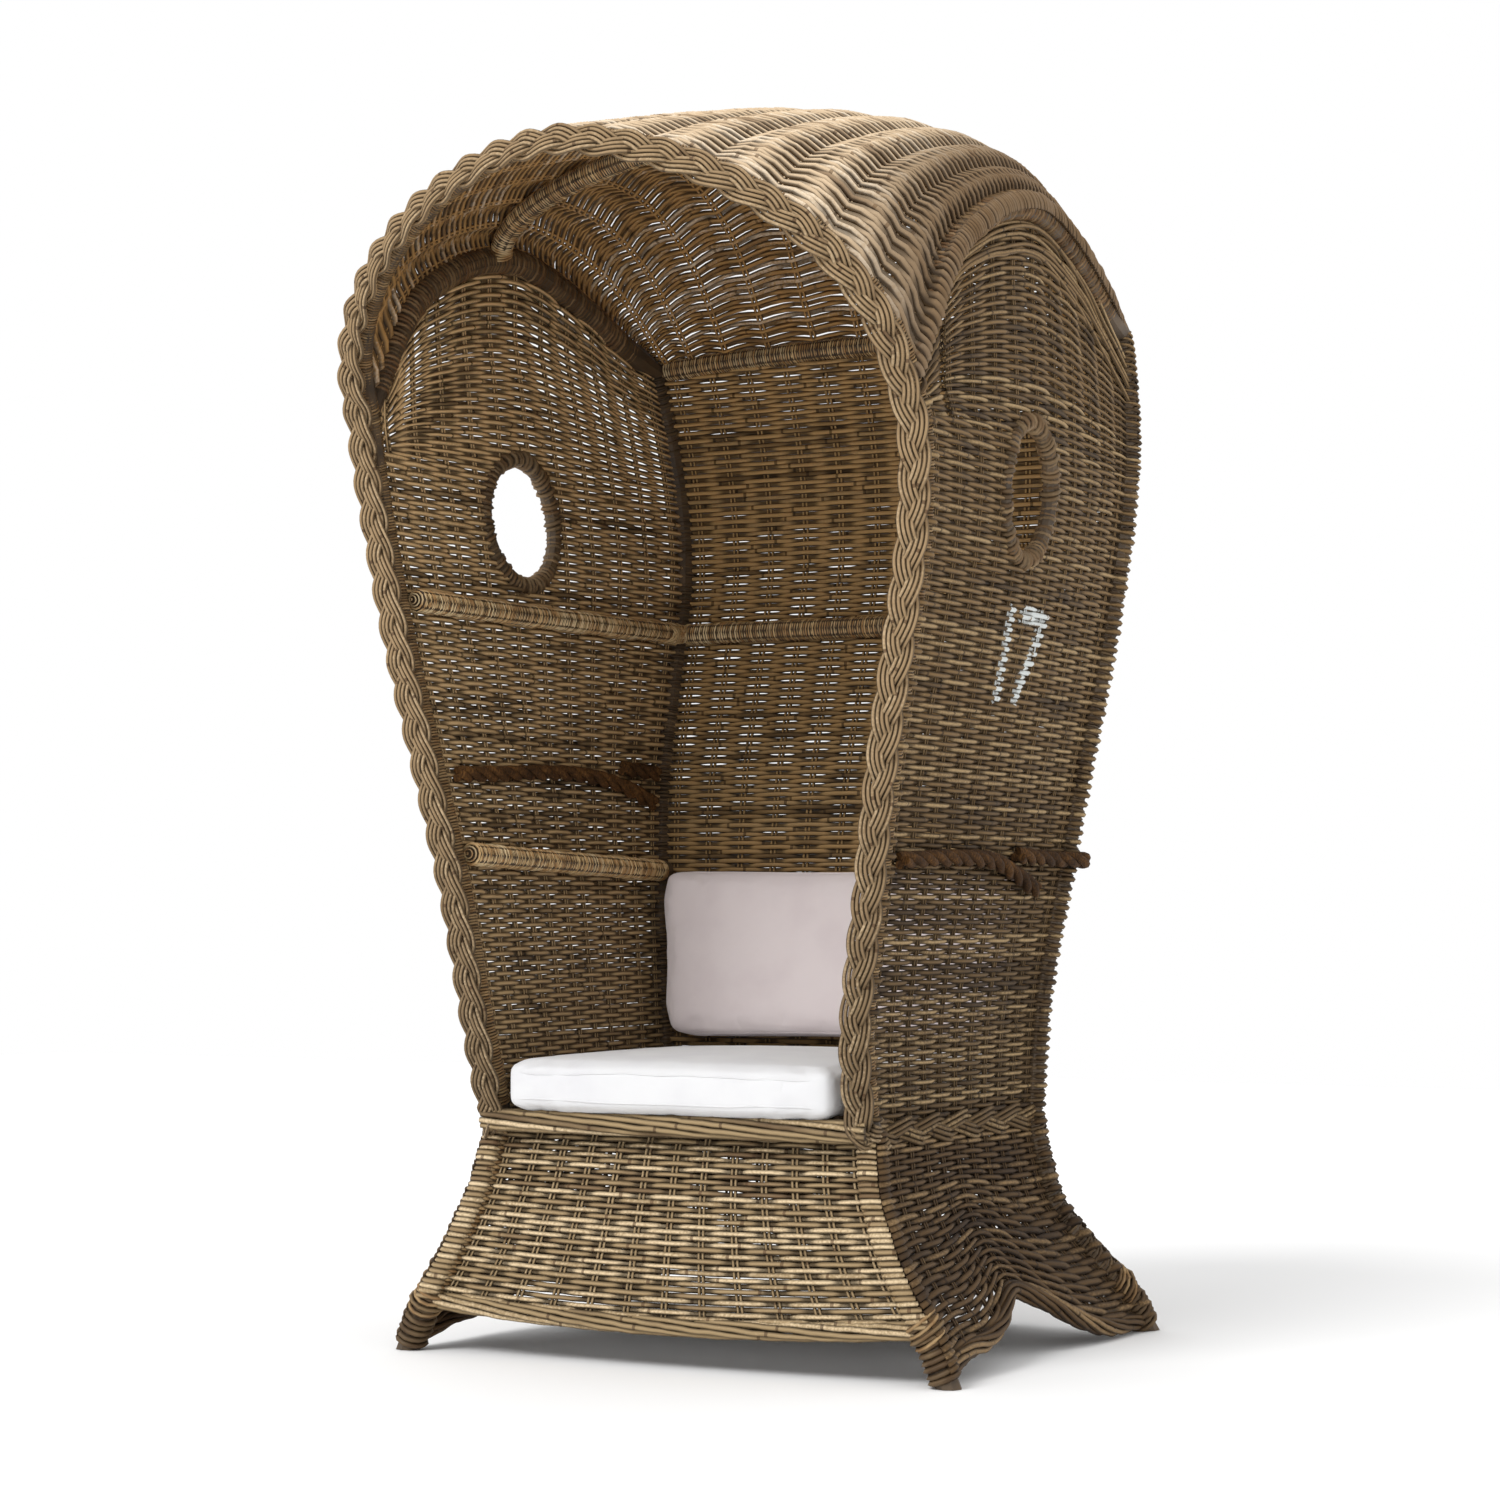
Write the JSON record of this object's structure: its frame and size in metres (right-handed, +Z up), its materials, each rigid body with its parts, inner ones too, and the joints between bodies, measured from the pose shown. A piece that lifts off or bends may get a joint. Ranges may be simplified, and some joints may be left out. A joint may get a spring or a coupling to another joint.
{
  "type": "hooded beach chair",
  "caption": "Tall hooded wicker beach chair with a flared woven base, bound portholes in the hood's sides, rope grips and loose seat and back cushions.",
  "frame": {"origin": "on the floor under the middle of the chair's bounding box", "axes": "+Z up, the sitter faces -Y, the sitter's left hand is on the +X side, seen from in front the right-hand side is +X"},
  "size_m": [0.8845, 1.0609, 1.7573],
  "materials": {
    "cane": "dry, unvarnished",
    "dark_cane": "dry, unvarnished",
    "pale_cane": "dry, unvarnished",
    "rope": "twisted fibre",
    "white_cloth": "matt woven cloth",
    "rose_cloth": "matt woven cloth"
  },
  "bodies": {
    "root": {"front_hoop": "cane", "side_frame_right": "cane", "side_frame_left": "cane", "back_top_rail": "cane", "waist_rail_front": "cane", "waist_rail_back": "cane", "waist_rail_right": "cane", "waist_rail_left": "cane", "hem_front": "cane", "hem_back": "cane", "hem_right": "cane", "hem_left": "cane", "side_panel_right": "cane", "side_panel_left": "cane", "skirt_front": "cane", "skirt_back": "cane", "skirt_right": "dark_cane", "skirt_left": "dark_cane", "roof_panel": "pale_cane", "back_panel": "dark_cane", "side_mid_rail_right": "cane", "side_mid_rail_left": "cane", "side_low_rail_right": "cane", "side_low_rail_left": "cane", "back_mid_rail": "cane", "roof_cross_hoop": "cane", "rim_braid": "pale_cane", "porthole_ring_right": "cane", "porthole_ring_left": "cane", "seat_border": "pale_cane", "outer_rope_right": "rope", "outer_rope_left": "rope", "outer_rope_corner_right": "rope", "outer_rope_corner_left": "rope", "inner_rope_right": "rope", "inner_rope_left": "rope", "inner_rope_end_right": "rope", "inner_rope_end_left": "rope", "seat_slat_1": "cane", "seat_slat_2": "cane", "seat_slat_3": "cane", "seat_slat_4": "cane", "seat_slat_5": "cane", "seat_slat_6": "cane", "seat_cushion": "white_cloth", "back_cushion": "rose_cloth"}
  },
  "joints": []
}
